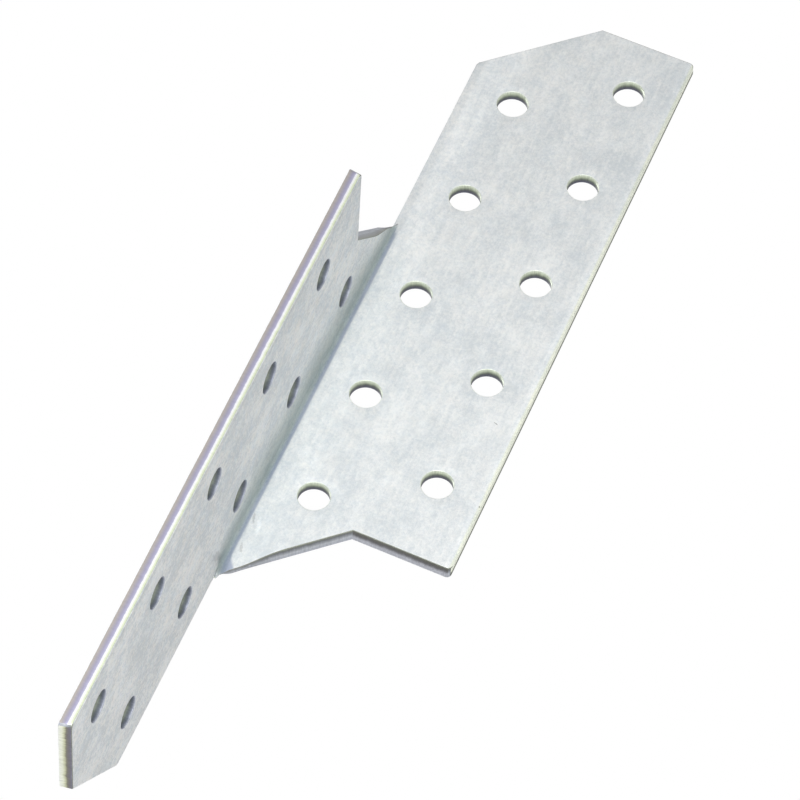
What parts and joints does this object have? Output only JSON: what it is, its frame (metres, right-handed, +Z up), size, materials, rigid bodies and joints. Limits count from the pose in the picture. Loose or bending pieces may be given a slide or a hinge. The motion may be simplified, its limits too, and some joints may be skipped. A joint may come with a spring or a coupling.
{
  "type": "hurricane tie",
  "caption": "Rafter-to-purlin tie of folded galvanised sheet: upright legs at a right angle, one reaching up and the other down, with staggered columns of nail holes.",
  "frame": {"origin": "on the outer corner of the fold, halfway up the tie, where the side of the rafter, the side of the purlin and the top of the purlin meet", "axes": "+Z up along the fold, +X from the fold to the free edge of the upper leg, which lies along the rafter, -Y from the fold to the free edge of the lower leg, which lies along the purlin"},
  "size_m": [0.034, 0.034, 0.17],
  "materials": {
    "galvanised_sheet": "matt zinc coating, finely mottled"
  },
  "bodies": {
    "root": {"tie": "galvanised_sheet"}
  },
  "joints": []
}
